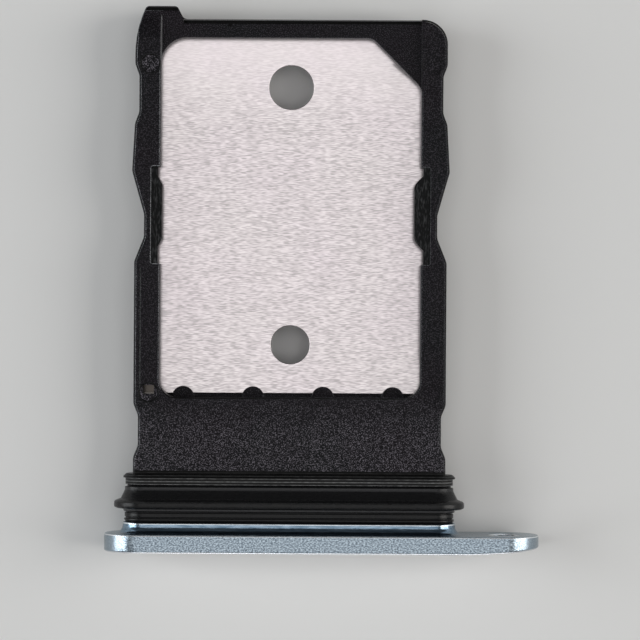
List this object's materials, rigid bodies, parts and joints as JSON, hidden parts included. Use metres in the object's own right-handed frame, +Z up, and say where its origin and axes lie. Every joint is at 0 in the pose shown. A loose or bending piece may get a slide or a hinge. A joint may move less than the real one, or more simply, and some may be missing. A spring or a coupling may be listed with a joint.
{
  "type": "sim card tray",
  "caption": "Slide-out tray for a small SIM card: rounded metal end cap with eject hole, lipped seal, black moulded frame with catch notches and a steel pocket floor.",
  "frame": {"origin": "on the tray's centre line at mid height, in the plane of the end cap's seating face", "axes": "+Y the way the tray goes in, +Z up towards the side the card is laid in from, +X towards the end of the cap that has the eject hole"},
  "size_m": [0.015, 0.0189, 0.0024],
  "materials": {
    "cap_metal": "fine bead-blasted, clear anodised",
    "seal_silicone": "smooth matt silicone",
    "frame_plastic": "fine spark-eroded grain",
    "plate_steel": "fine satin grain across the tray",
    "grip_silicone": "smooth matt silicone"
  },
  "bodies": {
    "root": {"end_cap": "cap_metal", "seal_ring": "seal_silicone", "tray_frame": "frame_plastic", "card_plate": "plate_steel", "card_grip_left": "grip_silicone", "card_grip_right": "grip_silicone"}
  },
  "joints": []
}
